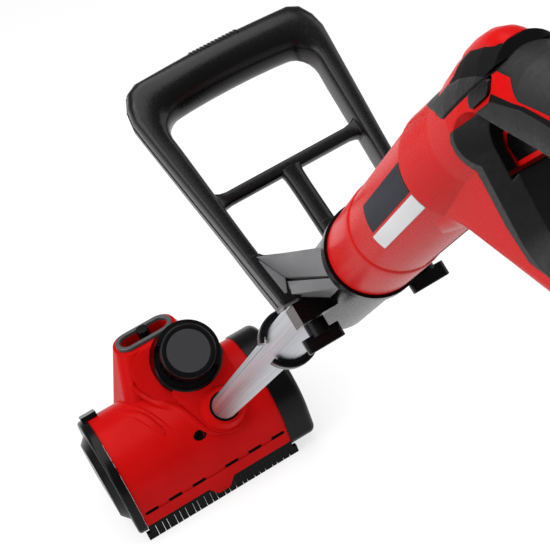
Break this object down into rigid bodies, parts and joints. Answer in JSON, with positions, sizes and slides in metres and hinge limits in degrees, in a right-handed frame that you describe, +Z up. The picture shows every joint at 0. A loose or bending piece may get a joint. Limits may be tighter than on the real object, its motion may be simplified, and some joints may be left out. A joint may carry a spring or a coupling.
{
  "type": "electric patio cleaner",
  "caption": "Long-handled electric patio cleaner with a hooded roller brush, a motor tower, a telescopic tube, a D-shaped front handle and a looped rear handle with battery.",
  "frame": {"origin": "on the floor, straight below the middle of the tube's plane on the brush axis, where the bristles meet the ground", "axes": "+X to the tool's right along the brush axis, +Y forward, away from the user, +Z up"},
  "size_m": [0.2684, 1.1648, 0.9614],
  "materials": {
    "red_plastic": "satin red moulding",
    "black_plastic": "fine grained black moulding",
    "grey_plastic": "smooth dark grey moulding",
    "soft_grip": "matt soft grip",
    "rubber": "plain black rubber",
    "tube_metal": "drawn and satin finished",
    "steel": "bright zinc",
    "bristle": "stiff filament",
    "board": "circuit board"
  },
  "bodies": {
    "rear_handle": {"handle_shell_left": "red_plastic", "handle_shell_right": "red_plastic", "handle_screws": "steel", "upper_grip": "soft_grip", "lower_grip": "soft_grip", "bumper_ring": "black_plastic", "upper_tube": "tube_metal", "guide_bush": "black_plastic", "clamp_band": "black_plastic", "clamp_pins": "steel", "power_switch": "black_plastic", "control_board": "board", "trigger_pin": "steel", "trigger_spring": "steel", "battery_rail": "black_plastic"},
    "head": {"lower_tube": "tube_metal", "tube_plug": "black_plastic", "hood": "red_plastic", "hood_screw": "steel", "motor_housing": "red_plastic", "motor_cap": "black_plastic", "motor_collar": "grey_plastic", "slot_bezel": "black_plastic", "drive_cover": "black_plastic", "rear_skirt": "rubber", "motor_can": "steel", "gearbox": "black_plastic", "shaft_bearing": "steel", "right_bearing": "steel", "drive_belt": "rubber"},
    "end_plate": {"end_plate": "black_plastic", "left_bearing": "steel"},
    "brush": {"brush_axle": "steel", "brush_core": "black_plastic", "bristles": "bristle", "brush_pulley": "black_plastic"},
    "drive_shaft": {"drive_shaft": "steel", "drive_pulley": "black_plastic"},
    "motor_rotor": {"motor_shaft": "steel", "cooling_fan": "black_plastic"},
    "selector": {"selector_knob": "black_plastic"},
    "front_handle": {"front_handle_fore": "black_plastic", "front_handle_aft": "black_plastic", "clamp_saddle": "grey_plastic", "clamp_bolts": "steel"},
    "left_wing": {"wing_knob_left": "black_plastic"},
    "right_wing": {"wing_knob_right": "black_plastic"},
    "trigger": {"trigger": "black_plastic", "trigger_rim": "red_plastic"},
    "lock_button": {"lock_button": "black_plastic"},
    "battery": {"battery_pack": "black_plastic"},
    "battery_release": {"battery_release": "red_plastic"}
  },
  "joints": [
    {"name": "telescope", "type": "slide", "parent": "rear_handle", "child": "head", "axis": [0, -0.7071, 0.7071], "range_m": [-0.06, 0.23]},
    {"name": "brush_spin", "type": "hinge", "parent": "head", "child": "brush", "pos_m": [0, 0, 0.0575], "axis": [1, 0, 0], "continuous": true},
    {"name": "drive_spin", "type": "hinge", "parent": "head", "child": "drive_shaft", "pos_m": [0, 0.04738, 0.10488], "axis": [1, 0, 0], "continuous": true},
    {"name": "motor_spin", "type": "hinge", "parent": "head", "child": "motor_rotor", "pos_m": [-0.008, -0.01556, 0.18337], "axis": [0, -0.7071, 0.7071], "continuous": true},
    {"name": "plate_release", "type": "slide", "parent": "head", "child": "end_plate", "axis": [-1, 0, 0], "range_m": [0, 0.04]},
    {"name": "selector_slide", "type": "slide", "parent": "head", "child": "selector", "axis": [1, 0, 0], "range_m": [-0.018, 0.018]},
    {"name": "front_handle_slide", "type": "slide", "parent": "rear_handle", "child": "front_handle", "axis": [0, 0.7071, -0.7071], "range_m": [0, 0.15]},
    {"name": "left_wing_turn", "type": "hinge", "parent": "front_handle", "child": "left_wing", "pos_m": [-0.038, -0.66327, 0.69248], "axis": [0, 0.7071, 0.7071], "range_deg": [-180, 180]},
    {"name": "right_wing_turn", "type": "hinge", "parent": "front_handle", "child": "right_wing", "pos_m": [0.038, -0.66327, 0.69248], "axis": [0, 0.7071, 0.7071], "range_deg": [-180, 180]},
    {"name": "trigger_pull", "type": "hinge", "parent": "rear_handle", "child": "trigger", "pos_m": [0, -0.869, 0.941], "axis": [-1, 0, 0], "range_deg": [0, 8], "stiffness_Nm_per_rad": 0.8, "springref_deg": -8.59},
    {"name": "lock_press", "type": "slide", "parent": "rear_handle", "child": "lock_button", "axis": [1, 0, 0], "range_m": [0, 0.0025], "stiffness_N_per_m": 500, "springref_m": -0.003},
    {"name": "battery_slide", "type": "slide", "parent": "rear_handle", "child": "battery", "axis": [0, 0, 1], "range_m": [0, 0.09]},
    {"name": "release_press", "type": "slide", "parent": "battery", "child": "battery_release", "axis": [0, 1, 0], "range_m": [0, 0.0015], "stiffness_N_per_m": 600, "springref_m": -0.003}
  ],
  "couplings": [
    {"joint": "drive_spin", "follows": "brush_spin", "ratio": 3},
    {"joint": "motor_spin", "follows": "brush_spin", "ratio": 9}
  ]
}
